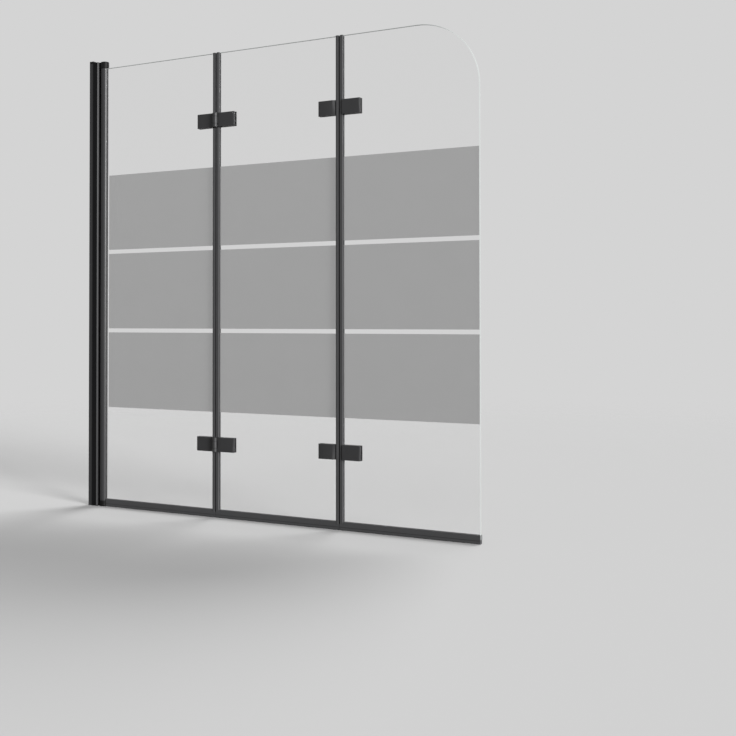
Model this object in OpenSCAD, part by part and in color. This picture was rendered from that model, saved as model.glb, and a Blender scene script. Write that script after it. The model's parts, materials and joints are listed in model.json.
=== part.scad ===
// Folding bath screen: three glass panels between a wall profile and a free edge.
// Origin: wall plane, middle of the glass, top of the bath rim.
// +X runs along the screen away from the wall, +Y into the bath, +Z up.

/* [Screen] */
// Width from the wall to the free edge of the last panel
screen_w = 1300; // [1240:10:1400]
// Height of the wall profile above the bath rim
screen_h = 1400; // [1300:10:1500]
// Distance between the two seams
middle_w = 411.5; // [380:0.5:430]
// Distance from the last seam to the free edge
end_w = 411; // [380:1:430]

/* [Glass] */
// Thickness of the glass
glass_t = 6; // [5:0.5:6]
// Height of the glass edge above the bath rim
glass_bottom = 11; // [11:0.5:13]
// Distance from the top of the wall profile down to the top of the glass
glass_drop = 25.5; // [25:0.5:40]
// Radius of the upper outer corner of the last panel
corner_r = 178; // [60:1:250]
// Width of the polished bevel along the free edges of the glass
arris = 2; // [0.5:0.1:2.2]
// Distance between the glass edges at a seam
seam_gap = 7; // [6.5:0.5:8]
// Lower edge of the lowest satin band
band_start = 310; // [280:5:340]
// Height of one satin band
band_h = 233.5; // [180:0.5:240]
// Clear line between two satin bands
band_line = 12.5; // [8:0.5:24]
// Number of satin bands
band_count = 3; // [1:1:3]
// Depth to which the satin bands are etched
etch = 0.15; // [0.1:0.05:0.3]

/* [Wall profile] */
// Depth of the wall channel, measured from the wall
channel_d = 26; // [22:1:28]
// Width of the wall channel across the glass
channel_w = 21.6; // [18:0.2:22]
// Thickness of the channel web against the wall
channel_web = 2; // [1.5:0.5:3]
// Thickness of the channel sides
channel_side = 1.6; // [1.2:0.1:2]
// Number of fixing holes in the wall channel
wall_holes = 3; // [2:1:4]
// Distance of the outer fixing holes from the channel ends
wall_hole_edge = 150; // [60:5:200]
// Diameter of the fixing holes
wall_hole_d = 5; // [4:0.5:6]

/* [Adjustment profile] */
// Distance from the top of the wall profile down to the top of the adjustment profile
adjust_drop = 5; // [4:0.5:5]
// Distance from the wall to the back edge of the adjustment profile
adjust_start = 15; // [10:1:16]
// Distance from the wall to the front of the adjustment profile
adjust_end = 35; // [34:0.5:37]
// Wall thickness of the adjustment profile sides
adjust_side = 1.3; // [1:0.1:1.4]
// Thickness of the adjustment profile front
adjust_front = 3; // [2.5:0.5:3.5]
// Bevel on the front edges of the adjustment profile
adjust_bevel = 3; // [1:0.5:4]
// Diameter of the adjustment screws
adjust_screw_d = 3.9; // [3:0.1:5]
// Length of the slots that the adjustment screws run in
adjust_slot = 9; // [6:1:12]
// Number of adjustment screws
adjust_screws = 3; // [2:1:4]
// Distance of the outer adjustment screws from the profile ends
adjust_screw_edge = 190; // [100:5:250]

/* [Pivot] */
// Distance from the wall to the pivot axis
pivot_x = 52.5; // [52:0.5:56]
// Diameter of the round pivot profile
pivot_d = 24.8; // [23:0.2:25]
// Diameter of the fixed pivot caps
cap_d = 25.6; // [24:0.2:26]
// Height of the upper pivot cap
cap_top_h = 19.7; // [16:0.1:20]
// Height of the lower pivot cap
cap_bottom_h = 10.3; // [8:0.1:10.5]
// Diameter of the pivot pins
pivot_pin_d = 6; // [5:0.5:6.5]
// Wall thickness of the pivot bush
bush_wall = 1.35; // [1.2:0.05:1.5]
// Length of the pivot bush inside the profile
bush_l = 16; // [10:1:24]
// Thickness of the glazing gasket on each side of the glass
glazing_t = 1.9; // [1.5:0.1:2]

/* [Seals] */
// Thickness of the seals across the glass
seal_t = 15; // [12:0.5:16]
// Height of the bottom seal
bottom_seal_h = 23.5; // [20:0.5:26]
// How far the side seals reach onto the glass from the middle of the seam
side_seal_reach = 11.4; // [9:0.1:13]
// Open gap between the two side seals of a seam
side_seal_gap = 4.3; // [3:0.1:5]
// Height at which the side seals start
side_seal_start = 17; // [14:0.5:18]

/* [Hinges] */
// Length of one hinge across both panels
hinge_l = 131; // [110:1:133]
// Height of one hinge
hinge_h = 42; // [36:1:46]
// Distance from the top of the glass to the middle of the upper hinge
hinge_from_top = 201; // [150:1:240]
// Distance from the bottom of the glass to the middle of the lower hinge
hinge_from_bottom = 204; // [150:1:240]
// Distance from the middle of the seam to the inner end of a hinge plate
plate_inset = 9; // [8.5:0.1:10]
// Thickness of one hinge plate
plate_t = 6.2; // [4.5:0.1:6.4]
// Thickness of the rubber pad between hinge plate and glass
pad_t = 0.8; // [0.5:0.1:1]
// Distance from the middle of the glass to the hinge axis
hinge_axis_y = 11.6; // [11.4:0.1:12.4]
// Diameter of the hinge knuckles
knuckle_d = 15.6; // [13:0.2:16]
// Height of the middle knuckle
tongue_h = 20; // [16:1:24]
// Diameter of the hinge pins
hinge_pin_d = 6; // [5:0.5:7]
// Thickness of the washers between the knuckles
washer_t = 0.8; // [0.5:0.1:1.2]
// Diameter of the hinge screws
hinge_screw_d = 5; // [4:0.5:6]
// Distance of the inner hinge screws from the middle of the seam
hinge_screw_near = 23; // [21:1:28]
// Distance of the outer hinge screws from the middle of the seam
hinge_screw_far = 49; // [40:1:50]

/* [Clearances] */
// Radial running clearance of the pins
run_clear = 0.05; // [0.03:0.01:0.08]
// Gap between parts that move past each other
move_clear = 0.2; // [0.15:0.05:0.3]
// Gap between profiles that slide into each other
slide_clear = 0.2; // [0.1:0.05:0.3]
// Gap between soft seals and what they brush against
brush_clear = 0.3; // [0.2:0.05:0.4]
// Clearance of a pressed or screwed fit
fit_clear = 0.02; // [0.01:0.01:0.03]

/* [Hidden] */
$fn = 13;
fn_knuckle = 16;
fn_pivot = 24;
fn_corner = 64;
eps = 0.01;
half_glass = glass_t / 2;
glass_top = screen_h - glass_drop;
seam_2 = screen_w - end_w;
seam_1 = seam_2 - middle_w;
hinge_top_z = glass_top - hinge_from_top;
hinge_bottom_z = glass_bottom + hinge_from_bottom;

// Wall side
end_plate_t = 2;
adjust_top = screen_h - adjust_drop;
profile_top = adjust_top - end_plate_t;
adjust_half = channel_w / 2 + slide_clear + adjust_side;
adjust_inner = channel_w / 2 + slide_clear;
wall_hole_pitch = (screen_h - 2 * wall_hole_edge) / (wall_holes - 1);
adjust_screw_pitch = (screen_h - 2 * adjust_screw_edge) / (adjust_screws - 1);
adjust_screw_x = (adjust_start + channel_d) / 2 + 1;
screw_head_d = 7.6;
screw_head_h = 2;
cover_d = 11;
cover_h = 3.2;
cover_wall = 0.9;
groove_w = 6;
groove_neck = 3.6;
groove_lip = 1;
wiper_flag = 2.4;

// Pivot
pivot_r = pivot_d / 2;
pin_bore_r = pivot_pin_d / 2 + run_clear;
bush_r = pin_bore_r + bush_wall;
slot_half = half_glass + glazing_t;
tube_wall = 1.8;
slot_start = pivot_x + bush_r + tube_wall + 0.3;
glass_1_start = slot_start + move_clear;
collar_bottom_z = cap_bottom_h + move_clear;
collar_bottom_h = 7.5;
collar_inset = 0.7;
tube_bottom_z = collar_bottom_z + collar_bottom_h;
collar_t = 1.5;
cap_top_z = adjust_top - cap_top_h;
tube_top_z = cap_top_z - move_clear - collar_t;
neck_w = 11;
plug_l = 18;
plug_gap = 0.5;
cap_bevel = 1.2;
pin_floor_bottom = 2;
pin_floor_top = 4;
pin_reach = bush_l - 1;

// Seals
side_seal_in = side_seal_gap / 2;
lip_half = 1.1;
bottom_seal_1_start = pivot_x + cap_d / 2 + 0.7;
seal_end_gap = 0.5;

// Hinges
plate_in = half_glass + pad_t;
plate_out = plate_in + plate_t;
plate_end = hinge_l / 2;
knuckle_r = knuckle_d / 2;
hinge_bore_r = hinge_pin_d / 2 + run_clear;
end_bevel = [4.5, 2.5];
slope_inset = 12;
slope_bevel = [9, 5.6];
edge_bevel = 0.7;
pad_back = 0.7;
pad_start = seam_gap / 2 + pad_back;
knuckle_bevel = 0.6;
hinge_screw_at = [hinge_screw_near, hinge_screw_far];
hinge_zone = hinge_h / 2 + 0.4;
fork_start = tongue_h / 2 + washer_t + move_clear;
screw_head_r = 4.6;
screw_head_sink = 0.2;
screw_cone_h = 2.2;
screw_bite = 3.4;
glass_hole_r = hinge_screw_d / 2 + 2.5;
sleeve_r = glass_hole_r - fit_clear;

profile_black = [0.16, 0.16, 0.17];
hinge_black = [0.19, 0.19, 0.2];
seal_black = [0.26, 0.26, 0.27];
rubber_black = [0.1, 0.1, 0.1];
plastic_black = [0.13, 0.13, 0.13];
steel = [0.7, 0.71, 0.72];
clear_glass = [0.85, 0.93, 0.92, 0.4];

// ---------- helpers ----------

// A box between two corners
module box(low, high) {
    translate(low)
        cube(high - low);
}

// A vertical extrusion between two heights
module rise(z0, z1) {
    translate([0, 0, z0])
        linear_extrude(height = z1 - z0)
            children();
}

// A profile drawn in Y and Z, run along X
module run_x(x0, x1) {
    translate([x0, 0, 0])
        rotate([90, 0, 90])
            linear_extrude(height = x1 - x0)
                children();
}

// A round bar or hole along Y
module bar_y(r, y0, y1) {
    translate([0, y0, 0])
        rotate([-90, 0, 0])
            cylinder(r = r, h = y1 - y0);
}

// Moves a shape drawn on the +X and +Y side to the chosen side and face
module placed(side, face) {
    mirror([side < 0 ? 1 : 0, 0, 0])
        mirror([0, face < 0 ? 1 : 0, 0])
            children();
}

// ---------- wall side ----------

module channel_outline() {
    difference() {
        translate([0, -channel_w / 2])
            square([channel_d, channel_w]);
        translate([channel_web, channel_side - channel_w / 2])
            square([channel_d, channel_w - 2 * channel_side]);
    }
}

module wall_profile() {
    color(profile_black)
        difference() {
            rise(0, profile_top)
                channel_outline();
            for (i = [0 : wall_holes - 1])
                translate([-1, 0, wall_hole_edge + i * wall_hole_pitch])
                    rotate([0, 90, 0])
                        cylinder(d = wall_hole_d, h = channel_web + 2);
            for (i = [0 : adjust_screws - 1])
                translate([adjust_screw_x, 0, adjust_screw_edge + i * adjust_screw_pitch])
                    bar_y(adjust_screw_d / 2 + fit_clear, 0, channel_w);
        }
}

// Push-in cover on the open top of the wall channel, up to the full height
module wall_profile_cap() {
    plug_half = channel_w / 2 - channel_side - fit_clear;
    plug_h = 10;
    color(plastic_black) {
        box([0, -channel_w / 2, profile_top], [adjust_start - move_clear, channel_w / 2, screen_h]);
        box([channel_web + fit_clear, -plug_half, profile_top - plug_h],
            [adjust_start - move_clear, plug_half, profile_top + eps]);
    }
}

module adjust_outline() {
    b = adjust_bevel;
    polygon([
        [adjust_start, -adjust_half], [adjust_end - b, -adjust_half],
        [adjust_end, b - adjust_half], [adjust_end, adjust_half - b],
        [adjust_end - b, adjust_half], [adjust_start, adjust_half]
    ]);
}

// Undercut groove that holds the wiper in the front of the profile
module wiper_groove() {
    translate([adjust_end - groove_lip, -groove_neck / 2])
        square([groove_lip + 1, groove_neck]);
    translate([adjust_end - 2 * groove_lip, -groove_w / 2])
        square([groove_lip, groove_w]);
}

module adjustment_profile() {
    inside = adjust_end - adjust_front;
    color(profile_black)
        difference() {
            rise(end_plate_t, profile_top)
                difference() {
                    adjust_outline();
                    translate([0, -adjust_inner])
                        square([inside, 2 * adjust_inner]);
                    wiper_groove();
                }
            for (i = [0 : adjust_screws - 1])
                translate([adjust_screw_x, 0, adjust_screw_edge + i * adjust_screw_pitch])
                    slot_y();
            box([inside - 1, -neck_w / 2 - move_clear, 0],
                [adjust_end + 1, neck_w / 2 + move_clear, cap_bottom_h + move_clear]);
        }
}

// Slot through the bath side of the adjustment profile, long along X
module slot_y() {
    r = adjust_screw_d / 2 + slide_clear;
    half = adjust_slot / 2 - r;
    for (s = [-1, 1])
        translate([s * half, 0, 0])
            bar_y(r, adjust_inner - 1, adjust_half + 1);
    box([-half, adjust_inner - 1, -r], [half, adjust_half + 1, r]);
}

// Pan head screws that lock the two profiles together
module adjustment_screws() {
    color(steel)
        for (i = [0 : adjust_screws - 1])
            translate([adjust_screw_x, 0, adjust_screw_edge + i * adjust_screw_pitch])
                {
                    bar_y(adjust_screw_d / 2, channel_w / 2 - channel_side - 3, adjust_half);
                    bar_y(screw_head_d / 2, adjust_half, adjust_half + screw_head_h);
                }
}

// Round snap covers over the screw heads
module screw_covers() {
    color(plastic_black)
        for (i = [0 : adjust_screws - 1])
            translate([adjust_screw_x, adjust_half, adjust_screw_edge + i * adjust_screw_pitch])
                rotate([-90, 0, 0])
                    rotate_extrude()
                        polygon([
                            [screw_head_d / 2 + slide_clear, 0], [cover_d / 2, 0],
                            [cover_d / 2, cover_h - cover_wall], [cover_d / 2 - cover_wall, cover_h],
                            [0, cover_h], [0, screw_head_h + slide_clear],
                            [screw_head_d / 2 + slide_clear, screw_head_h + slide_clear]
                        ]);
}

// Soft strip that closes the gap to the round pivot profile
module wiper_seal() {
    root = adjust_end - 2 * groove_lip;
    tip = pivot_x - pivot_r - brush_clear;
    color(rubber_black)
        rise(cap_bottom_h + 1, cap_top_z - 1) {
            translate([root + fit_clear, fit_clear - groove_w / 2])
                square([groove_lip - 2 * fit_clear, groove_w - 2 * fit_clear]);
            translate([root + groove_lip / 2, fit_clear - groove_neck / 2])
                square([2 * groove_lip, groove_neck - 2 * fit_clear]);
            polygon([
                [adjust_end + fit_clear, -groove_neck / 2], [tip, -wiper_flag / 2],
                [tip, wiper_flag / 2], [adjust_end + fit_clear, groove_neck / 2]
            ]);
        }
}

// Moulded end piece: round head on the pivot axis, neck, end plate and plug in the
// profile. Drawn for the lower end, standing on z = 0 with the pin hole upwards.
module pivot_cap(head_h, pin_floor, lower) {
    inside = adjust_end - adjust_front;
    neck_start = lower ? inside - 1 : adjust_end + fit_clear;
    difference() {
        union() {
            translate([pivot_x, 0, 0])
                rotate_extrude($fn = fn_pivot)
                    polygon([
                        [0, 0], [cap_d / 2 - cap_bevel, 0], [cap_d / 2, cap_bevel],
                        [cap_d / 2, head_h], [0, head_h]
                    ]);
            box([neck_start, -neck_w / 2, 0], [pivot_x, neck_w / 2, head_h]);
            rise(0, end_plate_t)
                difference() {
                    adjust_outline();
                    if (lower)
                        translate([0, -adjust_inner])
                            square([channel_d + slide_clear, 2 * adjust_inner]);
                }
            box([channel_d + plug_gap, slide_clear - adjust_inner, 0],
                [inside - slide_clear, adjust_inner - slide_clear, plug_l]);
        }
        translate([pivot_x, 0, pin_floor])
            cylinder(d = pivot_pin_d + 2 * fit_clear, h = head_h);
    }
}

module pivot_cap_bottom() {
    color(plastic_black)
        pivot_cap(cap_bottom_h, pin_floor_bottom, true);
}

module pivot_cap_top() {
    color(plastic_black)
        translate([0, 0, adjust_top])
            mirror([0, 0, 1])
                pivot_cap(cap_top_h, pin_floor_top, false);
}

// Steel pins fixed in the two caps
module pivot_pins() {
    color(steel) {
        translate([pivot_x, 0, pin_floor_bottom])
            cylinder(d = pivot_pin_d, h = tube_bottom_z + pin_reach - pin_floor_bottom);
        translate([pivot_x, 0, tube_top_z - pin_reach])
            cylinder(d = pivot_pin_d, h = adjust_top - pin_floor_top - (tube_top_z - pin_reach));
    }
}

// ---------- first panel ----------

// Round profile with a bore for the bushes, a hollow back and a slot for the glass
module pivot_profile() {
    color(profile_black)
        rise(tube_bottom_z, tube_top_z)
            translate([pivot_x, 0])
                difference() {
                    circle(r = pivot_r, $fn = fn_pivot);
                    circle(r = bush_r + fit_clear);
                    difference() {
                        circle(r = pivot_r - tube_wall, $fn = fn_pivot);
                        circle(r = bush_r + tube_wall, $fn = fn_knuckle);
                        translate([-1, -pivot_r])
                            square([2 * pivot_r, 2 * pivot_r]);
                    }
                    translate([slot_start - pivot_x, -slot_half])
                        square([pivot_r, 2 * slot_half]);
                }
}

// The glass also passes through the thin collar of the upper bush
module pivot_bush_top() {
    collar_r = pivot_r - collar_inset;
    collar_end = tube_top_z + collar_t;
    color(plastic_black)
        difference() {
            translate([pivot_x, 0, 0])
                rotate_extrude($fn = fn_knuckle)
                    polygon([
                        [pin_bore_r, tube_top_z - bush_l], [bush_r, tube_top_z - bush_l],
                        [bush_r, tube_top_z], [collar_r, tube_top_z],
                        [collar_r, collar_end], [pin_bore_r, collar_end]
                    ]);
            box([slot_start, -half_glass - slide_clear, tube_top_z - eps],
                [pivot_x + cap_d, half_glass + slide_clear, collar_end + 1]);
        }
}

// The lower bush has a tall collar that carries the panel; the glass passes through it
module pivot_bush_bottom() {
    color(plastic_black)
        difference() {
            translate([pivot_x, 0, 0])
                rotate_extrude($fn = fn_pivot)
                    polygon([
                        [pin_bore_r, collar_bottom_z], [pivot_r - collar_inset, collar_bottom_z],
                        [pivot_r, collar_bottom_z + collar_inset], [pivot_r, tube_bottom_z],
                        [bush_r, tube_bottom_z], [bush_r, tube_bottom_z + bush_l],
                        [pin_bore_r, tube_bottom_z + bush_l]
                    ]);
            box([slot_start, -half_glass - slide_clear, 0],
                [pivot_x + cap_d, half_glass + slide_clear, tube_bottom_z + eps]);
        }
}

// Strips that wedge the glass in the slot of the pivot profile
module glazing_gaskets() {
    outer = sqrt(pow(pivot_r, 2) - pow(slot_half, 2));
    color(rubber_black)
        for (s = [-1, 1])
            placed(1, s)
                rise(tube_bottom_z, min(glass_top, tube_top_z))
                    polygon([
                        [glass_1_start, half_glass], [pivot_x + outer + 1.2, half_glass],
                        [pivot_x + outer + 0.6, slot_half], [glass_1_start, slot_half]
                    ]);
}

// ---------- glass ----------

// Holes for the hinge screws at one end of a panel
module hinge_holes(seam, side) {
    for (z = [hinge_bottom_z, hinge_top_z])
        for (u = hinge_screw_at)
            translate([seam + side * u, 0, z])
                bar_y(glass_hole_r, -glass_t, glass_t);
}

// Shallow etched fields on the bath side of a panel
module satin_fields(x0, x1) {
    for (i = [0 : band_count - 1]) {
        z = band_start + i * (band_h + band_line);
        box([x0 - 1, half_glass - etch, z], [x1 + 1, half_glass + 1, z + band_h]);
    }
}

// Bevelled edge profile across the glass, from the middle out to the edge
module edge_profile(inner, edge) {
    polygon([
        [inner, -half_glass], [edge - arris, -half_glass], [edge, arris - half_glass],
        [edge, half_glass - arris], [edge - arris, half_glass], [inner, half_glass]
    ]);
}

// Flat panel with a bevelled top edge
module flat_panel(x0, x1) {
    run_x(x0, x1)
        mirror([1, -1])
            edge_profile(glass_bottom, glass_top);
}

module glass_panel_1() {
    x1 = seam_1 - seam_gap / 2;
    color(clear_glass)
        difference() {
            flat_panel(glass_1_start, x1);
            hinge_holes(seam_1, -1);
            satin_fields(slot_start + pivot_r, x1);
        }
}

module glass_panel_2() {
    x0 = seam_1 + seam_gap / 2;
    x1 = seam_2 - seam_gap / 2;
    color(clear_glass)
        difference() {
            flat_panel(x0, x1);
            hinge_holes(seam_1, 1);
            hinge_holes(seam_2, -1);
            satin_fields(x0, x1);
        }
}

// Last panel with its large rounded corner
module glass_panel_3() {
    x0 = seam_2 + seam_gap / 2;
    x1 = screen_w - corner_r;
    color(clear_glass)
        difference() {
            union() {
                flat_panel(x0, x1);
                rise(glass_bottom, glass_top - corner_r)
                    edge_profile(x1, screen_w);
                translate([x1, 0, glass_top - corner_r])
                    rotate([90, 0, 0])
                        rotate_extrude(angle = 90, $fn = fn_corner)
                            edge_profile(0, corner_r);
            }
            hinge_holes(seam_2, 1);
            satin_fields(x0, screen_w);
        }
}

// ---------- seals ----------

// Bottom seal: legs that grip the glass, a base and a drip lip down to the rim
module bottom_seal(x0, x1) {
    t = seal_t / 2;
    h = bottom_seal_h;
    lip = 1.5;
    base = glass_bottom - 1.5;
    color(seal_black)
        run_x(x0, x1)
            polygon([
                [half_glass, glass_bottom], [half_glass, h], [t - 1, h], [t, h - 1],
                [t, base], [t - lip, base - 1.5], [t - lip, 1.2], [t - lip - 1.2, 0],
                [1.2 + lip - t, 0], [lip - t, 1.2], [lip - t, base - 1.5], [-t, base],
                [-t, h - 1], [1 - t, h], [-half_glass, h], [-half_glass, glass_bottom]
            ]);
}

// Notch in a bottom seal where a side seal stands
module seal_notch(seam) {
    r = side_seal_reach + 0.2;
    box([seam - r, -seal_t, side_seal_start - 0.2], [seam + r, seal_t, bottom_seal_h + 1]);
}

module bottom_seal_1() {
    difference() {
        bottom_seal(bottom_seal_1_start, seam_1 - seal_end_gap);
        seal_notch(seam_1);
    }
}

module bottom_seal_2() {
    difference() {
        bottom_seal(seam_1 + seal_end_gap, seam_2 - seal_end_gap);
        seal_notch(seam_1);
        seal_notch(seam_2);
    }
}

module bottom_seal_3() {
    difference() {
        bottom_seal(seam_2 + seal_end_gap, screen_w);
        seal_notch(seam_2);
    }
}

// Cross-section of a side seal on the +X side of a seam at x = 0:
// two legs over the glass, a web at the glass edge and half of the centre lip
module side_seal_outline() {
    t = seal_t / 2;
    round_r = 2.4;
    groove_at = 1.9;
    groove_side = 1.2;
    difference() {
        union() {
            for (s = [-1, 1])
                translate([side_seal_reach - round_r, s * (t - round_r)])
                    circle(r = round_r, $fn = 16);
            translate([side_seal_in, round_r - t])
                square([side_seal_reach - side_seal_in, seal_t - 2 * round_r]);
            translate([side_seal_in, -t])
                square([side_seal_reach - side_seal_in - round_r, seal_t]);
            translate([brush_clear / 2, -lip_half])
                square([side_seal_in, 2 * lip_half]);
        }
        translate([seam_gap / 2, -half_glass])
            square([side_seal_reach, glass_t]);
        for (s = [-1, 1])
            translate([side_seal_in + groove_at, s * t])
                rotate(45)
                    square(groove_side, center = true);
    }
}

// One side seal; at the hinges it is cut back to a strip between the clamps, on the
// face away from the knuckles
module side_seal(seam, side, face) {
    cuts = [side_seal_start, hinge_bottom_z - hinge_zone, hinge_bottom_z + hinge_zone,
            hinge_top_z - hinge_zone, hinge_top_z + hinge_zone, glass_top];
    color(seal_black)
        translate([seam, 0, 0])
            placed(side, face) {
                for (i = [0 : 2 : 4])
                    rise(cuts[i], cuts[i + 1])
                        side_seal_outline();
                rise(side_seal_start, glass_top)
                    intersection() {
                        side_seal_outline();
                        translate([0, -lip_half])
                            square([clamp_inset(side, face) - brush_clear, seal_t]);
                    }
            }
}

// ---------- hinges ----------
// A hinge is drawn at its own middle: side -1 is the left panel, +1 the right one;
// face -1 is the room side, +1 the bath side. The knuckles stand on one face.

// Plate beside the seam, bevelled at its ends and along its long edges
module hinge_plate(side, face, inset, bevel) {
    h = hinge_h / 2;
    e = edge_bevel;
    placed(side, face)
        intersection() {
            rise(-h, h)
                polygon([
                    [inset, plate_in], [plate_end, plate_in],
                    [plate_end, plate_out - end_bevel[1]], [plate_end - end_bevel[0], plate_out],
                    [inset + bevel[0], plate_out], [inset, plate_out - bevel[1]]
                ]);
            run_x(plate_inset - 1, plate_end + 1)
                polygon([
                    [0, -h], [plate_out - e, -h], [plate_out, e - h],
                    [plate_out, h - e], [plate_out - e, h], [0, h]
                ]);
        }
}

// One knuckle with the web that ties it to its plate. An outer knuckle, drawn from its
// inner end z0 to its outer end z1, has a bevel at the outer end.
module knuckle(side, face, z0, z1, outer) {
    b = z1 > z0 ? knuckle_bevel : -knuckle_bevel;
    rim = outer ? [[knuckle_r, z1 - b], [knuckle_r - knuckle_bevel, z1]] : [[knuckle_r, z1]];
    placed(side, face) {
        translate([0, hinge_axis_y, 0])
            rotate_extrude($fn = fn_knuckle)
                polygon(concat([[0, z0], [knuckle_r, z0]], rim, [[0, z1]]));
        box([0, plate_in, min(z0, z1 - b)],
            [plate_inset + 2 * edge_bevel, plate_out, max(z0, z1 - b)]);
    }
}

// The leaf on the knuckle side: fork (two outer knuckles) or tongue (middle one)
module hinge_leaf(side, face, fork) {
    bore = fork ? hinge_pin_d / 2 + fit_clear : hinge_bore_r;
    color(hinge_black)
        difference() {
            union() {
                hinge_plate(side, face, plate_inset, [edge_bevel, edge_bevel]);
                if (fork) {
                    knuckle(side, face, fork_start, hinge_h / 2, true);
                    knuckle(side, face, -fork_start, -hinge_h / 2, true);
                } else {
                    knuckle(side, face, -tongue_h / 2, tongue_h / 2, false);
                }
            }
            translate([0, face * hinge_axis_y, -hinge_h])
                cylinder(r = bore, h = 2 * hinge_h);
            plate_holes(side, face);
        }
}

// Distance from the seam to the inner end of a clamp
function clamp_inset(side, face) = side < 0 && face < 0 ? slope_inset : plate_inset;

// The plain plate on the other face of the glass; on the room side the left one
// slopes down to the seam
module hinge_clamp(side, face) {
    sloped = side < 0 && face < 0;
    color(hinge_black)
        difference() {
            hinge_plate(side, face, clamp_inset(side, face),
                sloped ? slope_bevel : [edge_bevel, edge_bevel]);
            plate_holes(side, face);
        }
}

// Blind threaded holes in a room side plate, countersunk ones in a bath side plate
module plate_holes(side, face) {
    for (u = hinge_screw_at)
        translate([side * u, 0, 0])
            if (face < 0)
                bar_y(hinge_screw_d / 2 + fit_clear, -plate_in - screw_bite - fit_clear, 0);
            else
                screw_body(fit_clear, 2 * screw_head_sink);
}

// Countersunk screw along Y, grown by a clearance; its cone can run on past the head
module screw_body(grow, run_on) {
    shank = hinge_screw_d / 2;
    cone_start = plate_out - screw_head_sink - screw_cone_h;
    cone_h = screw_cone_h + run_on;
    bar_y(shank + grow, -plate_in - screw_bite, cone_start);
    translate([0, cone_start, 0])
        rotate([-90, 0, 0])
            cylinder(r1 = shank + grow, h = cone_h,
                r2 = shank + grow + (screw_head_r - shank) * cone_h / screw_cone_h);
}

module hinge_screw() {
    difference() {
        screw_body(0, 0);
        translate([0, plate_out - 2, 0])
            rotate([-90, 0, 0])
                cylinder(d = 3.4, h = 4, $fn = 6);
    }
}

// Rubber pads on both faces of the glass, joined by the sleeves in its holes. Face is
// the one with the knuckles; there the pad runs on to the edge of the glass.
module hinge_pads(side, face) {
    inset = 0.8;
    high = plate_end - inset;
    h = hinge_h / 2 - inset;
    placed(side, face)
        difference() {
            union() {
                box([pad_start, half_glass, -h], [high, plate_in, h]);
                box([clamp_inset(side, -face), -plate_in, -h], [high, -half_glass, h]);
                for (u = hinge_screw_at)
                    translate([u, 0, 0])
                        bar_y(sleeve_r, -half_glass - eps, half_glass + eps);
            }
            for (u = hinge_screw_at)
                translate([u, 0, 0])
                    bar_y(hinge_screw_d / 2 + fit_clear, -plate_in - 1, plate_in + 1);
        }
}

module hinge_pin(face) {
    pin_end = 0.5;
    color(steel)
        translate([0, face * hinge_axis_y, 0])
            cylinder(d = hinge_pin_d, h = hinge_h - 2 * pin_end, center = true);
}

// Two thin washers between the knuckles
module hinge_washers(face) {
    gap = move_clear / 2;
    translate([0, face * hinge_axis_y, 0])
        for (z = [tongue_h / 2 + gap, -tongue_h / 2 - gap - washer_t])
            translate([0, 0, z])
                difference() {
                    cylinder(r = knuckle_r - 1, h = washer_t);
                    translate([0, 0, -1])
                        cylinder(r = hinge_bore_r, h = washer_t + 2);
                }
}

// Places a hinge part at the upper or the lower hinge of a seam
module at_top(seam) {
    translate([seam, 0, hinge_top_z])
        children();
}

module at_bottom(seam) {
    translate([seam, 0, hinge_bottom_z])
        children();
}

module at_both(seam) {
    at_top(seam)
        children();
    at_bottom(seam)
        children();
}

// Seam 1 folds towards the room, seam 2 towards the bath. The lower hinges are
// the upper ones turned over, so their fork is on the other panel.
room = -1;
bath = 1;

module hinge_1_top_leaf_left() { at_top(seam_1) hinge_leaf(-1, room, true); }
module hinge_1_top_leaf_right() { at_top(seam_1) hinge_leaf(1, room, false); }
module hinge_1_top_clamp_left() { at_top(seam_1) hinge_clamp(-1, bath); }
module hinge_1_top_clamp_right() { at_top(seam_1) hinge_clamp(1, bath); }
module hinge_1_top_pin() { at_top(seam_1) hinge_pin(room); }
module hinge_1_bottom_leaf_left() { at_bottom(seam_1) hinge_leaf(-1, room, false); }
module hinge_1_bottom_leaf_right() { at_bottom(seam_1) hinge_leaf(1, room, true); }
module hinge_1_bottom_clamp_left() { at_bottom(seam_1) hinge_clamp(-1, bath); }
module hinge_1_bottom_clamp_right() { at_bottom(seam_1) hinge_clamp(1, bath); }
module hinge_1_bottom_pin() { at_bottom(seam_1) hinge_pin(room); }
module hinge_1_pads_left() { color(rubber_black) at_both(seam_1) hinge_pads(-1, room); }
module hinge_1_pads_right() { color(rubber_black) at_both(seam_1) hinge_pads(1, room); }
module hinge_1_screws_left() { hinge_screws(seam_1, -1); }
module hinge_1_screws_right() { hinge_screws(seam_1, 1); }
module hinge_1_washers() { color(plastic_black) at_both(seam_1) hinge_washers(room); }

module hinge_2_top_leaf_left() { at_top(seam_2) hinge_leaf(-1, bath, true); }
module hinge_2_top_leaf_right() { at_top(seam_2) hinge_leaf(1, bath, false); }
module hinge_2_top_clamp_left() { at_top(seam_2) hinge_clamp(-1, room); }
module hinge_2_top_clamp_right() { at_top(seam_2) hinge_clamp(1, room); }
module hinge_2_top_pin() { at_top(seam_2) hinge_pin(bath); }
module hinge_2_bottom_leaf_left() { at_bottom(seam_2) hinge_leaf(-1, bath, false); }
module hinge_2_bottom_leaf_right() { at_bottom(seam_2) hinge_leaf(1, bath, true); }
module hinge_2_bottom_clamp_left() { at_bottom(seam_2) hinge_clamp(-1, room); }
module hinge_2_bottom_clamp_right() { at_bottom(seam_2) hinge_clamp(1, room); }
module hinge_2_bottom_pin() { at_bottom(seam_2) hinge_pin(bath); }
module hinge_2_pads_left() { color(rubber_black) at_both(seam_2) hinge_pads(-1, bath); }
module hinge_2_pads_right() { color(rubber_black) at_both(seam_2) hinge_pads(1, bath); }
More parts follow.
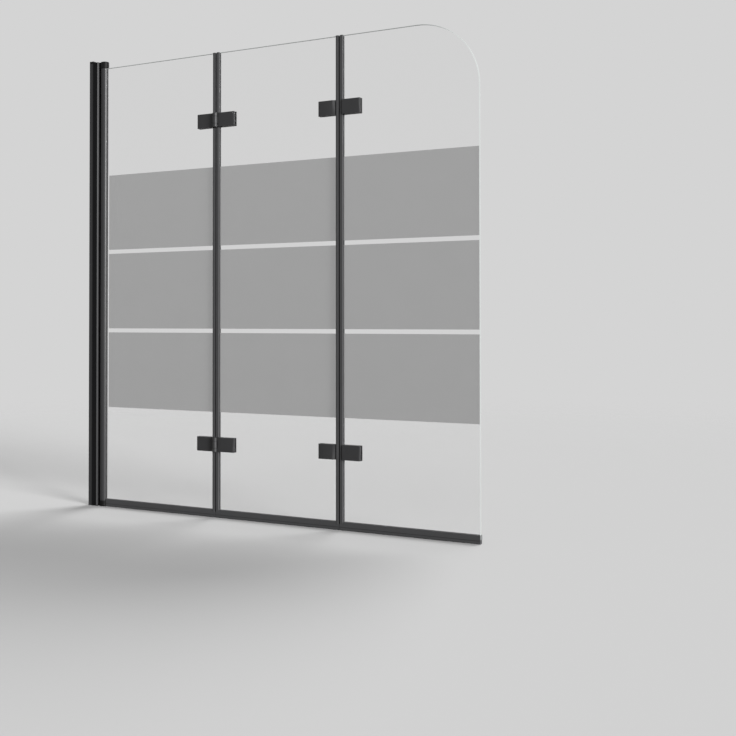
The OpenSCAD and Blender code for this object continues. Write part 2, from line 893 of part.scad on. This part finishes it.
module hinge_2_screws_left() { hinge_screws(seam_2, -1); }
module hinge_2_screws_right() { hinge_screws(seam_2, 1); }
module hinge_2_washers() { color(plastic_black) at_both(seam_2) hinge_washers(bath); }

module hinge_screws(seam, side) {
    color(steel)
        at_both(seam)
            for (u = hinge_screw_at)
                translate([side * u, 0, 0])
                    hinge_screw();
}

module side_seal_1() { side_seal(seam_1, -1, bath); }
module side_seal_2_left() { side_seal(seam_1, 1, bath); }
module side_seal_2_right() { side_seal(seam_2, -1, room); }
module side_seal_3() { side_seal(seam_2, 1, room); }

wall_profile();
wall_profile_cap();
adjustment_profile();
adjustment_screws();
screw_covers();
wiper_seal();
pivot_cap_top();
pivot_cap_bottom();
pivot_pins();
pivot_profile();
pivot_bush_top();
pivot_bush_bottom();
glazing_gaskets();
glass_panel_1();
bottom_seal_1();
side_seal_1();
glass_panel_2();
bottom_seal_2();
side_seal_2_left();
side_seal_2_right();
glass_panel_3();
bottom_seal_3();
side_seal_3();
hinge_1_top_leaf_left();
hinge_1_top_leaf_right();
hinge_1_top_clamp_left();
hinge_1_top_clamp_right();
hinge_1_top_pin();
hinge_1_bottom_leaf_left();
hinge_1_bottom_leaf_right();
hinge_1_bottom_clamp_left();
hinge_1_bottom_clamp_right();
hinge_1_bottom_pin();
hinge_1_pads_left();
hinge_1_pads_right();
hinge_1_screws_left();
hinge_1_screws_right();
hinge_1_washers();
hinge_2_top_leaf_left();
hinge_2_top_leaf_right();
hinge_2_top_clamp_left();
hinge_2_top_clamp_right();
hinge_2_top_pin();
hinge_2_bottom_leaf_left();
hinge_2_bottom_leaf_right();
hinge_2_bottom_clamp_left();
hinge_2_bottom_clamp_right();
hinge_2_bottom_pin();
hinge_2_pads_left();
hinge_2_pads_right();
hinge_2_screws_left();
hinge_2_screws_right();
hinge_2_washers();
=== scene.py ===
"""Folding bath screen: the looks of its profiles, glass, hinges and seals, and the stage.

The solids come packed from the construction model as a fixed frame. Lengths are metres in that
frame: +X runs along the screen away from the wall, +Y into the bath, +Z up from the bath rim.
"""

import json
import math

import bpy
from bpy.props import FloatProperty, FloatVectorProperty, PointerProperty
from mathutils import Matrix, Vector

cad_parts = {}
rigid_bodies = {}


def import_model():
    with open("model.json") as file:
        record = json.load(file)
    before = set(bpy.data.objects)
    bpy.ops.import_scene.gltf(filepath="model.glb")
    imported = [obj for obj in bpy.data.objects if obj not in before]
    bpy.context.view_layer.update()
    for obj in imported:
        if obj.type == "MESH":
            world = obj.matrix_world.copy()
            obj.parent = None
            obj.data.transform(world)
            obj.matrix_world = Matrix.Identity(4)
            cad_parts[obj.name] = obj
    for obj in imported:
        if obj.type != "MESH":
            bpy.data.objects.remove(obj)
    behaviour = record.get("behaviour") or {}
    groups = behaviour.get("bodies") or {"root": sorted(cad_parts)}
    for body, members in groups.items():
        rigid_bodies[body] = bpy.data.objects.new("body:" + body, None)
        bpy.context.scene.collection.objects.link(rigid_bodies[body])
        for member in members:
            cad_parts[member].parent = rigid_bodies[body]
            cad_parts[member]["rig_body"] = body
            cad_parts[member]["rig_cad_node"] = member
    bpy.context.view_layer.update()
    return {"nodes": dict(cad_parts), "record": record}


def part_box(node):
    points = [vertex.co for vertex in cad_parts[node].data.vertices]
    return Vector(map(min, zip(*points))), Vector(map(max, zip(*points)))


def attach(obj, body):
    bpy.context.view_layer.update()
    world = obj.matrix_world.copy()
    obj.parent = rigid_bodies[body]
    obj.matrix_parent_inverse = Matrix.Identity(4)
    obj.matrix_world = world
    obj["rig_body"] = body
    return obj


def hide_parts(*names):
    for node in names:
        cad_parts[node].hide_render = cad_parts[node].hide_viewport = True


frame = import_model()
BODIES = frame["record"]["behaviour"]["bodies"]
BODY_OF = {node: body for body, members in BODIES.items() for node in members}

bl_info = {
    "name": "Folding bath screen",
    "version": (1, 0, 0),
    "blender": (4, 5, 0),
    "location": "View3D > Sidebar > Bath screen",
    "description": "Finishes and stage for a three-part folding bath screen",
    "category": "Object",
}

MM = 0.001

# The mix node has sockets for every kind of data: these are the ones for colours.
MIX_SHARE, MIX_FIRST, MIX_SECOND, MIX_RESULT = 0, 6, 7, 2

# Points closer than the first are merged, and faces that turn less than the second are one.
SAME_POINT = 0.002 * MM
SAME_FLAT = math.radians(0.6)

# Edges that turn more than the first are eased, in so many facets. Faces that turn less than
# SMOOTH_EDGE, or SMOOTH_GLASS on the glass, are shaded as one rounded surface.
SHARP_EDGE = math.radians(32)
EASE_FACETS = 2
SMOOTH_EDGE = math.radians(28)
SMOOTH_GLASS = math.radians(20)

# How strongly the large faces keep the shading next to them flat: 50 is not at all.
FLAT_WEIGHT = 80

# Widths of the eased edges on turned pins, on small parts and on thin parts, in mm.
PIN_EDGE = 0.2
SMALL_EDGE = 0.15
FINE_EDGE = 0.1

# A face looks to the room or the bath when its normal has more Y than this: the first leaves
# out the bevel of the adjustment profile, the second the edges of the glass.
# On the adjustment profile, the faces past PROFILE_SIDE carry painted shade.
PROFILE_SIDE = 0.9
GLASS_SIDE = 0.99

# A part of the glass that lies deeper than this in the bath face is a satin field.
LEAST_FIELD_DEPTH = 0.02 * MM

# Nearly all of a grain's noise lies between these.
GRAIN_LOW, GRAIN_HIGH = 0.3, 0.7

# Share of the satin fields' light that glows through them. The rest is thrown back.
GLOW_SHARE = 0.8

# The point that the lamps shine at, near the middle of the screen.
AIM = Vector((0.7, 0, 0.7))

# The floor lies just below the screen, and melts away between two distances from its middle.
FLOOR_SIZE = 24
FLOOR_MIDDLE = (0.65, 0, -0.2 * MM)
FADE_START = 1.6
FADE_END = 6.0


# ---------- colours and nodes ----------


def linear(code):
    """An sRGB hex colour as linear RGBA."""
    parts = [int(code[i:i + 2], 16) / 255 for i in (1, 3, 5)]
    return [p / 12.92 if p <= 0.04045 else ((p + 0.055) / 1.055) ** 2.4 for p in parts] + [1.0]


def add_node(tree, kind, inputs=None, **settings):
    """Adds a node, sets its properties, and fills its sockets with values or links."""
    node = tree.nodes.new(kind)
    for name, value in settings.items():
        setattr(node, name, value)
    for socket, value in (inputs or {}).items():
        if isinstance(value, bpy.types.NodeSocket):
            tree.links.new(value, node.inputs[socket])
        else:
            node.inputs[socket].default_value = value
    return node


def new_tree(name):
    """An empty material by that name, and its node tree."""
    material = bpy.data.materials.new(name)
    material.use_nodes = True
    material.node_tree.nodes.clear()
    return material, material.node_tree


def scattered(tree):
    """1 on a ray that a matt surface has already scattered."""
    rays = add_node(tree, "ShaderNodeLightPath")
    spread = add_node(tree, "ShaderNodeMath", {
        0: rays.outputs["Is Diffuse Ray"], 1: rays.outputs["Diffuse Depth"]},
        operation="ADD", use_clamp=True)
    return spread.outputs[0]


def looked_at(tree):
    """1 where the eye looks straight, by a mirror or through glass, 0 where light only bounces
    on from there."""
    rays = add_node(tree, "ShaderNodeLightPath")
    mirrored = add_node(tree, "ShaderNodeMath", {
        0: rays.outputs["Is Camera Ray"], 1: rays.outputs["Is Glossy Ray"]}, operation="MAXIMUM")
    any_way = add_node(tree, "ShaderNodeMath", {
        0: mirrored.outputs[0], 1: rays.outputs["Is Transmission Ray"]}, operation="MAXIMUM")
    straight = add_node(tree, "ShaderNodeMath", {
        0: any_way.outputs[0], 1: scattered(tree)}, operation="SUBTRACT", use_clamp=True)
    return straight.outputs[0]


def grained(name, tones, spot_mm, roughness, grain_mm, grain_depth_mm,
            stretch=(1, 1, 1), specular=0.5, metallic=0.0):
    """A finish whose tone wanders between two colours over wide spots, with a fine grain that
    roughens it unevenly and stands up as relief. Stretch draws the grain out along an axis."""
    material, tree = new_tree(name)
    place = add_node(tree, "ShaderNodeTexCoord")
    spots = add_node(tree, "ShaderNodeTexNoise", {
        "Vector": place.outputs["Object"], "Scale": 1 / (spot_mm * MM), "Detail": 3.0})
    drawn = add_node(tree, "ShaderNodeMapping", {
        "Vector": place.outputs["Object"], "Scale": stretch})
    grain = add_node(tree, "ShaderNodeTexNoise", {
        "Vector": drawn.outputs["Vector"], "Scale": 1 / (grain_mm * MM), "Detail": 2.0,
        "Roughness": 0.6})
    tone = add_node(tree, "ShaderNodeMix", {
        MIX_SHARE: spots.outputs["Fac"], MIX_FIRST: linear(tones[0]),
        MIX_SECOND: linear(tones[1])}, data_type="RGBA")
    rough = add_node(tree, "ShaderNodeMapRange", {
        "Value": grain.outputs["Fac"], "From Min": GRAIN_LOW, "From Max": GRAIN_HIGH,
        "To Min": roughness[0], "To Max": roughness[1]})
    relief = add_node(tree, "ShaderNodeBump", {
        "Height": grain.outputs["Fac"], "Distance": grain_depth_mm * MM, "Strength": 1.0})
    skin = add_node(tree, "ShaderNodeBsdfPrincipled", {
        "Base Color": tone.outputs[MIX_RESULT], "Roughness": rough.outputs["Result"],
        "Metallic": metallic, "Specular IOR Level": specular,
        "Normal": relief.outputs["Normal"]})
    add_node(tree, "ShaderNodeOutputMaterial", {"Surface": skin.outputs["BSDF"]})
    return material


# ---------- finishes ----------


def powder_coated_aluminium():
    """Extruded aluminium under black polyester powder: a satin skin with the faint pebbling of
    the melted powder, about 1.6 mm across, drawn a little coarser than real so that it shows."""
    return grained(
        "powder coated aluminium", tones=("#2E2E2F", "#323233"), spot_mm=60,
        roughness=(0.30, 0.38), grain_mm=1.6, grain_depth_mm=0.02, specular=0.22)


def painted_shade_black_aluminium():
    """Anodised aluminium with a near-black tone that is painted shade: it stands for the shade
    and dark reflection on the faces of the adjustment profile that look to the room and the
    bath. The die lines of the extrusion run up the profile about 0.5 mm apart."""
    return grained(
        # Painted shade: these near-black tones stand for the shade on the room and bath faces of
        # the adjustment profile.
        "black aluminium with painted shade", tones=("#08080A", "#0C0C0D"), spot_mm=40,
        roughness=(0.42, 0.52), grain_mm=0.5, grain_depth_mm=0.008,
        stretch=(1, 1, 0.004), specular=0.1)


def powder_coated_zinc():
    """Die-cast zinc under black powder: flat polished dies leave it smooth, with an orange
    peel of about 1.2 mm."""
    return grained(
        "powder coated zinc", tones=("#2D2D2E", "#313132"), spot_mm=25,
        roughness=(0.42, 0.52), grain_mm=1.2, grain_depth_mm=0.015, specular=0.3)


def graphite_pvc():
    """Extruded soft PVC in dark graphite: dull and slightly waxy, with faint draw lines."""
    return grained(
        "graphite PVC", tones=("#444445", "#4A4A4B"), spot_mm=30,
        roughness=(0.5, 0.62), grain_mm=0.8, grain_depth_mm=0.012,
        stretch=(1, 1, 0.02), specular=0.12)


def epdm_rubber():
    """Black EPDM rubber: matt, with a bloom that makes it slightly uneven."""
    return grained(
        "EPDM rubber", tones=("#101010", "#191918"), spot_mm=8,
        roughness=(0.7, 0.85), grain_mm=0.6, grain_depth_mm=0.02, specular=0.1)


def grey_rubber():
    """Grey EPDM rubber of the glazing gaskets: matt, and lighter than the profile."""
    return grained(
        "grey EPDM rubber", tones=("#434344", "#494949"), spot_mm=10,
        roughness=(0.6, 0.75), grain_mm=0.6, grain_depth_mm=0.015, specular=0.15)


def moulded_nylon():
    """Black glass-filled nylon from a spark-eroded mould: an even matt grain of 0.5 mm."""
    return grained(
        "moulded nylon", tones=("#0E0E0E", "#131313"), spot_mm=20,
        roughness=(0.45, 0.6), grain_mm=0.5, grain_depth_mm=0.02, specular=0.12)


def stainless_steel():
    """Turned stainless steel: bright, with fine tool marks about 0.3 mm apart."""
    return grained(
        "stainless steel", tones=("#A9ABAD", "#BCBEC0"), spot_mm=6,
        roughness=(0.22, 0.36), grain_mm=0.3, grain_depth_mm=0.004,
        stretch=(0.2, 0.2, 1), metallic=1.0)


def let_light_through(tree, shader, code):
    """Shows the shader, while light on its way to a surface passes straight through with a
    colour's loss. Otherwise glass would shade what stands behind it."""
    rays = add_node(tree, "ShaderNodeLightPath")
    passing = add_node(tree, "ShaderNodeMath", {
        0: rays.outputs["Is Shadow Ray"], 1: scattered(tree)}, operation="MAXIMUM")
    opened = add_node(tree, "ShaderNodeBsdfTransparent", {"Color": linear(code)})
    mixed = add_node(tree, "ShaderNodeMixShader", {
        0: passing.outputs[0], 1: shader.outputs["BSDF"], 2: opened.outputs["BSDF"]})
    add_node(tree, "ShaderNodeOutputMaterial", {"Surface": mixed.outputs["Shader"]})


def clear_float_glass():
    """Low-iron float glass: colourless to the eye, with the slow roller wave of toughening,
    some 250 mm long."""
    material, tree = new_tree("clear float glass")
    place = add_node(tree, "ShaderNodeTexCoord")
    wave = add_node(tree, "ShaderNodeTexNoise", {
        "Vector": place.outputs["Object"], "Scale": 1 / (250 * MM), "Detail": 1.0})
    relief = add_node(tree, "ShaderNodeBump", {
        "Height": wave.outputs["Fac"], "Distance": 0.2 * MM, "Strength": 1.0})
    glass = add_node(tree, "ShaderNodeBsdfPrincipled", {
        "Base Color": linear("#FCFCFC"), "Roughness": 0.0, "IOR": 1.52,
        "Transmission Weight": 1.0, "Normal": relief.outputs["Normal"]})
    let_light_through(tree, glass, "#F6F6F6")
    return material


def ground_glass_edge():
    """The ground and polished edge of the glass: the grinding leaves it milky, with marks along
    the edge about 0.4 mm apart, drawn as a faint unevenness."""
    material, tree = new_tree("polished glass edge")
    place = add_node(tree, "ShaderNodeTexCoord")
    drawn = add_node(tree, "ShaderNodeMapping", {
        "Vector": place.outputs["Object"], "Scale": (0.006, 1, 0.006)})
    marks = add_node(tree, "ShaderNodeTexNoise", {
        "Vector": drawn.outputs["Vector"], "Scale": 1 / (0.4 * MM), "Detail": 2.0})
    tone = add_node(tree, "ShaderNodeMix", {
        MIX_SHARE: marks.outputs["Fac"], MIX_FIRST: linear("#9EA1A0"),
        MIX_SECOND: linear("#AEB1B0")}, data_type="RGBA")
    relief = add_node(tree, "ShaderNodeBump", {
        "Height": marks.outputs["Fac"], "Distance": 0.005 * MM, "Strength": 1.0})
    edge = add_node(tree, "ShaderNodeBsdfPrincipled", {
        "Base Color": tone.outputs[MIX_RESULT], "Roughness": 0.6, "Specular IOR Level": 0.0,
        "Normal": relief.outputs["Normal"]})
    let_light_through(tree, edge, "#E8E8E8")
    return material


def satin_glass():
    """The satin fields: an etched and tinted grey skin that hides what is behind but glows
    with the light from there, with a soft even tooth of 0.5 mm."""
    material, tree = new_tree("satin glass field")
    place = add_node(tree, "ShaderNodeTexCoord")
    cloud = add_node(tree, "ShaderNodeTexNoise", {
        "Vector": place.outputs["Object"], "Scale": 1 / (90 * MM), "Detail": 3.0})
    tooth = add_node(tree, "ShaderNodeTexNoise", {
        "Vector": place.outputs["Object"], "Scale": 1 / (0.5 * MM), "Detail": 1.0})
    tone = add_node(tree, "ShaderNodeMix", {
        MIX_SHARE: cloud.outputs["Fac"], MIX_FIRST: linear("#A8A8A8"),
        MIX_SECOND: linear("#ABABAB")}, data_type="RGBA")
    relief = add_node(tree, "ShaderNodeBump", {
        "Height": tooth.outputs["Fac"], "Distance": 0.006 * MM, "Strength": 1.0})
    skin = add_node(tree, "ShaderNodeBsdfPrincipled", {
        "Base Color": tone.outputs[MIX_RESULT], "Roughness": 0.6, "Specular IOR Level": 0.1,
        "Normal": relief.outputs["Normal"]})
    glow = add_node(tree, "ShaderNodeBsdfTranslucent", {
        "Color": tone.outputs[MIX_RESULT], "Normal": relief.outputs["Normal"]})
    both = add_node(tree, "ShaderNodeMixShader", {
        0: GLOW_SHARE, 1: skin.outputs["BSDF"], 2: glow.outputs["BSDF"]})
    add_node(tree, "ShaderNodeOutputMaterial", {"Surface": both.outputs["Shader"]})
    return material


# ---------- modelling ----------


def pick_only(piece):
    """Makes a piece the only selected and active object."""
    bpy.ops.object.select_all(action="DESELECT")
    piece.select_set(True)
    bpy.context.view_layer.objects.active = piece


def copy_of(node):
    """A merged copy of a CAD solid whose flat faces are whole again, for a piece that stands
    for the node."""
    piece = frame["nodes"][node].copy()
    piece.data = frame["nodes"][node].data.copy()
    piece.name = node + "_finished"
    piece.parent = None
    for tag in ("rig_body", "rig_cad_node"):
        del piece[tag]
    bpy.context.scene.collection.objects.link(piece)
    pick_only(piece)
    bpy.ops.object.mode_set(mode="EDIT")
    bpy.ops.mesh.select_all(action="SELECT")
    bpy.ops.mesh.remove_doubles(threshold=SAME_POINT)
    bpy.ops.mesh.dissolve_limited(angle_limit=SAME_FLAT)
    bpy.ops.mesh.customdata_custom_splitnormals_clear()
    bpy.ops.object.mode_set(mode="OBJECT")
    return piece


def eased(node, width_mm):
    """A copy of a CAD solid with its sharp edges eased, as tumbling or paint leaves them, and
    with its flats kept flat in the shading."""
    piece = copy_of(node)
    bpy.ops.object.modifier_add(type="BEVEL")
    ease = piece.modifiers[-1]
    ease.width = width_mm * MM
    ease.segments = EASE_FACETS
    ease.limit_method = "ANGLE"
    ease.angle_limit = SHARP_EDGE
    ease.use_clamp_overlap = True
    bpy.ops.object.modifier_apply(modifier=ease.name)
    bpy.ops.object.shade_smooth_by_angle(angle=SMOOTH_EDGE)
    bpy.ops.object.modifier_add(type="WEIGHTED_NORMAL")
    flat = piece.modifiers[-1]
    flat.keep_sharp = True
    flat.weight = FLAT_WEIGHT
    bpy.ops.object.modifier_apply(modifier=flat.name)
    return piece


def dress(piece, *materials):
    """Gives a piece its materials in slot order."""
    piece.data.materials.clear()
    for material in materials:
        piece.data.materials.append(material)


def stand_for(piece, node):
    """Lets a finished piece ride and stand for its CAD node."""
    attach(piece, BODY_OF[node])
    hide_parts(node)


def finish_nodes(nodes, width_mm, material):
    """Eases a group of CAD solids and gives them one finish."""
    for node in nodes:
        piece = eased(node, width_mm)
        dress(piece, material)
        stand_for(piece, node)


def nodes_with(*words):
    """The CAD nodes whose names hold all of these words."""
    return [node for node in BODY_OF if all(word in node for word in words)]


# ---------- settings ----------


class BathScreenEdges(bpy.types.PropertyGroup):
    """Widths of the eased edges."""

    profile: FloatProperty(
        name="Profile edges", default=0.25, min=0.05, max=0.6,
        description="Width of the eased edges on the extrusions, in mm")
    hinge: FloatProperty(
        name="Hinge edges", default=0.35, min=0.05, max=0.6,
        description="Width of the eased edges on the hinges, in mm")
    moulding: FloatProperty(
        name="Moulding edges", default=0.3, min=0.05, max=0.6,
        description="Width of the eased edges on mouldings, in mm")
    seal: FloatProperty(
        name="Seal edges", default=0.25, min=0.05, max=0.5,
        description="Width of the eased edges on the seals, in mm")


class BathScreenStage(bpy.types.PropertyGroup):
    """Camera and light."""

    camera: FloatVectorProperty(
        name="Camera position", size=3, subtype="TRANSLATION", unit="LENGTH",
        default=(2.3185, -2.7447, 0.5753), description="Where the camera stands")
    azimuth: FloatProperty(
        name="Camera azimuth", default=math.radians(29.079), subtype="ANGLE",
        description="Turn of the camera to the right of the room side")
    tilt: FloatProperty(
        name="Camera tilt", default=math.radians(0.892), subtype="ANGLE",
        description="Upward tilt of the camera")
    lens: FloatProperty(
        name="Focal length", default=54.449, subtype="DISTANCE_CAMERA",
        description="Focal length of the camera, in mm")
    shift_x: FloatProperty(
        name="Shift X", default=0.0789, description="Sideways lens shift")
    shift_y: FloatProperty(
        name="Shift Y", default=-0.0858, description="Vertical lens shift")
    room: FloatVectorProperty(
        name="Room colour", size=3, subtype="COLOR", min=0, max=1,
        default=linear("#D4D4D4")[:3], description="Colour of the surroundings, as seen")
    shade: FloatVectorProperty(
        name="Shade colour", size=3, subtype="COLOR", min=0, max=1,
        default=linear("#9C9C9C")[:3],
        description="Light that reaches the object from all around")
    key: FloatProperty(
        name="Key light", default=5.4, min=0,
        description="Strength of the lamp on the right, in W/m2")
    key_place: FloatVectorProperty(
        name="Key place", size=3, subtype="TRANSLATION", unit="LENGTH",
        default=(12.1, -4.6, 3.2), description="Where the lamp on the right hangs")
    key_spread: FloatProperty(
        name="Key spread", default=math.radians(22), subtype="ANGLE",
        description="Width of the lamp on the right, as an angle")
    fill: FloatProperty(
        name="Fill light", default=2.6, min=0,
        description="Strength of the lamp behind the screen, in W/m2")
    fill_place: FloatVectorProperty(
        name="Fill place", size=3, subtype="TRANSLATION", unit="LENGTH",
        default=(2.2, 7.7, 6.9), description="Where the lamp behind the screen hangs")
    fill_spread: FloatProperty(
        name="Fill spread", default=math.radians(40), subtype="ANGLE",
        description="Width of the lamp behind the screen, as an angle")


# ---------- operators ----------


class BATHSCREEN_OT_stage(bpy.types.Operator):
    """Sets the camera, the lamps, the surroundings and the floor."""

    bl_idname = "bathscreen.stage"
    bl_label = "Stage"

    def execute(self, context):
        settings = context.scene.bath_screen_stage
        scene = context.scene
        scene.view_settings.view_transform = "Standard"
        self.place_camera(scene, settings)
        self.hang_lamp("key light", settings.key_place, settings.key_spread, settings.key)
        self.hang_lamp("fill light", settings.fill_place, settings.fill_spread, settings.fill)
        self.paint_room(scene, settings)
        self.lay_floor()
        return {"FINISHED"}

    def place_camera(self, scene, settings):
        bpy.ops.object.camera_add(location=settings.camera, rotation=(
            math.radians(90) + settings.tilt, 0, settings.azimuth))
        camera = bpy.context.object
        camera.name = "photo camera"
        camera.data.lens = settings.lens
        camera.data.sensor_width = 36
        camera.data.shift_x = settings.shift_x
        camera.data.shift_y = settings.shift_y
        camera.data.clip_end = 60
        scene.camera = camera

    def hang_lamp(self, name, place, spread, strength):
        """A large far lamp that lights the whole screen evenly."""
        direction = AIM - Vector(place)
        bpy.ops.object.light_add(type="SUN", location=place,
                                 rotation=direction.to_track_quat("-Z", "Y").to_euler())
        lamp = bpy.context.object
        lamp.name = name
        lamp.data.angle = spread
        lamp.data.energy = strength

    def paint_room(self, scene, settings):
        """Surroundings that are pale where the eye meets them, and shed an even, softer
        light."""
        world = bpy.data.worlds.new("pale room")
        scene.world = world
        world.use_nodes = True
        tree = world.node_tree
        tree.nodes.clear()
        tone = add_node(tree, "ShaderNodeMix", {
            MIX_SHARE: looked_at(tree), MIX_FIRST: [*settings.shade, 1],
            MIX_SECOND: [*settings.room, 1]}, data_type="RGBA")
        air = add_node(tree, "ShaderNodeBackground", {
            "Color": tone.outputs[MIX_RESULT], "Strength": 1.0})
        add_node(tree, "ShaderNodeOutputWorld", {"Surface": air.outputs["Background"]})

    def lay_floor(self):
        """A pale floor that melts into the surroundings a few metres out, and throws little
        light up at the undersides."""
        bpy.ops.mesh.primitive_plane_add(size=FLOOR_SIZE, location=FLOOR_MIDDLE)
        floor = bpy.context.object
        floor.name = "floor"
        material, tree = new_tree("pale floor paint")
        place = add_node(tree, "ShaderNodeTexCoord")
        roller = add_node(tree, "ShaderNodeTexNoise", {
            "Vector": place.outputs["Object"], "Scale": 1 / (4 * MM), "Detail": 2.0})
        relief = add_node(tree, "ShaderNodeBump", {
            "Height": roller.outputs["Fac"], "Distance": 0.05 * MM, "Strength": 1.0})
        tone = add_node(tree, "ShaderNodeMix", {
            MIX_SHARE: looked_at(tree), MIX_FIRST: linear("#2A2A2A"),
            MIX_SECOND: linear("#C2C2C2")}, data_type="RGBA")
        paint = add_node(tree, "ShaderNodeBsdfPrincipled", {
            "Base Color": tone.outputs[MIX_RESULT], "Roughness": 0.8,
            "Specular IOR Level": 0.0, "Normal": relief.outputs["Normal"]})
        reach = add_node(tree, "ShaderNodeVectorMath", {
            0: place.outputs["Object"]}, operation="LENGTH")
        fade = add_node(tree, "ShaderNodeMapRange", {
            "Value": reach.outputs["Value"], "From Min": FADE_START, "From Max": FADE_END},
            interpolation_type="SMOOTHSTEP")
        air = add_node(tree, "ShaderNodeBsdfTransparent")
        melting = add_node(tree, "ShaderNodeMixShader", {
            0: fade.outputs["Result"], 1: paint.outputs["BSDF"], 2: air.outputs["BSDF"]})
        add_node(tree, "ShaderNodeOutputMaterial", {"Surface": melting.outputs["Shader"]})
        dress(floor, material)


class BATHSCREEN_OT_wall_side(bpy.types.Operator):
    """Finishes the wall channel, the adjustment profile and their small parts."""

    bl_idname = "bathscreen.wall_side"
    bl_label = "Wall side"

    def execute(self, context):
        edges = context.scene.bath_screen_edges
        mouldings = ["wall_profile_cap", "screw_covers"]
        finish_nodes(["wall_profile"], edges.profile, powder_coated_aluminium())
        self.finish_adjustment(edges)
        finish_nodes(mouldings, edges.moulding, moulded_nylon())
        finish_nodes(["adjustment_screws"], SMALL_EDGE, stainless_steel())
        finish_nodes(["wiper_seal"], FINE_EDGE, epdm_rubber())
        return {"FINISHED"}

    def finish_adjustment(self, edges):
        """Painted shade: the faces to the room and the bath get a near-black finish that stands
        for the shade on them, while the coated bevel and front catch the light."""
        node = "adjustment_profile"
        piece = eased(node, edges.profile)
        dress(piece, painted_shade_black_aluminium(), powder_coated_aluminium())
        # Faces that look to the room or the bath get the painted shade; the rest keep the coated
        # finish.
        for face in piece.data.polygons:
            face.material_index = 0 if abs(face.normal.y) > PROFILE_SIDE else 1
        stand_for(piece, node)


class BATHSCREEN_OT_pivot(bpy.types.Operator):
    """Finishes the round pivot profile, its caps, bushes and pins, and the gaskets."""

    bl_idname = "bathscreen.pivot"
    bl_label = "Pivot"

    def execute(self, context):
        edges = context.scene.bath_screen_edges
        nylon = moulded_nylon()
        finish_nodes(["pivot_profile"], edges.profile, powder_coated_aluminium())
        finish_nodes(nodes_with("pivot_cap"), edges.moulding, nylon)
        finish_nodes(nodes_with("pivot_bush"), SMALL_EDGE, nylon)
        finish_nodes(["pivot_pins"], PIN_EDGE, stainless_steel())
        finish_nodes(["glazing_gaskets"], SMALL_EDGE, grey_rubber())
        return {"FINISHED"}


class BATHSCREEN_OT_glass(bpy.types.Operator):
    """Gives each glass panel clear faces, polished edges and satin fields."""

    bl_idname = "bathscreen.glass"
    bl_label = "Glass"

    def execute(self, context):
        clear, edge, satin = clear_float_glass(), ground_glass_edge(), satin_glass()
        for node in nodes_with("glass_panel"):
            piece = copy_of(node)
            dress(piece, clear, edge, satin)
            bath_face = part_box(node)[1].y
            for face in piece.data.polygons:
                flat = abs(face.normal.y) > GLASS_SIDE
                sunk = face.center.y < bath_face - LEAST_FIELD_DEPTH
                face.material_index = 1 if not flat else 2 if face.normal.y > 0 and sunk else 0
            bpy.ops.object.shade_smooth_by_angle(angle=SMOOTH_GLASS)
            stand_for(piece, node)
        return {"FINISHED"}


class BATHSCREEN_OT_seals(bpy.types.Operator):
    """Finishes the bottom seals and the side seals."""

    bl_idname = "bathscreen.seals"
    bl_label = "Seals"

    def execute(self, context):
        edges = context.scene.bath_screen_edges
        finish_nodes(nodes_with("seal_"), edges.seal, graphite_pvc())
        return {"FINISHED"}


class BATHSCREEN_OT_hinges(bpy.types.Operator):
    """Finishes the hinge leaves and clamps with their pads, screws, washers and pins."""

    bl_idname = "bathscreen.hinges"
    bl_label = "Hinges"

    def execute(self, context):
        edges = context.scene.bath_screen_edges
        castings = nodes_with("hinge", "leaf") + nodes_with("hinge", "clamp")
        steel = stainless_steel()
        finish_nodes(castings, edges.hinge, powder_coated_zinc())
        finish_nodes(nodes_with("hinge", "pin"), PIN_EDGE, steel)
        finish_nodes(nodes_with("hinge", "screws"), FINE_EDGE, steel)
        finish_nodes(nodes_with("hinge", "pads"), SMALL_EDGE, epdm_rubber())
        finish_nodes(nodes_with("hinge", "washers"), FINE_EDGE, moulded_nylon())
        return {"FINISHED"}


class BATHSCREEN_PT_panel(bpy.types.Panel):
    """Lists the settings and the steps that finish the screen."""

    bl_idname = "BATHSCREEN_PT_panel"
    bl_label = "Bath screen"
    bl_space_type = "VIEW_3D"
    bl_region_type = "UI"
    bl_category = "Bath screen"

    def draw(self, context):
        for settings in (context.scene.bath_screen_stage, context.scene.bath_screen_edges):
            for name in settings.__annotations__:
                self.layout.prop(settings, name)
        for step in STEPS:
            self.layout.operator(step.bl_idname)


STEPS = (
    BATHSCREEN_OT_stage,
    BATHSCREEN_OT_wall_side,
    BATHSCREEN_OT_pivot,
    BATHSCREEN_OT_glass,
    BATHSCREEN_OT_seals,
    BATHSCREEN_OT_hinges,
)
CLASSES = (BathScreenEdges, BathScreenStage, *STEPS, BATHSCREEN_PT_panel)


def register():
    for cls in CLASSES:
        bpy.utils.register_class(cls)
    bpy.types.Scene.bath_screen_edges = PointerProperty(type=BathScreenEdges)
    bpy.types.Scene.bath_screen_stage = PointerProperty(type=BathScreenStage)


def unregister():
    del bpy.types.Scene.bath_screen_stage
    del bpy.types.Scene.bath_screen_edges
    for cls in reversed(CLASSES):
        bpy.utils.unregister_class(cls)


def main():
    """Registers the classes and runs every step."""
    register()
    for step in STEPS:
        group, name = step.bl_idname.split(".")
        getattr(getattr(bpy.ops, group), name)()


if __name__ == "__main__":
    main()
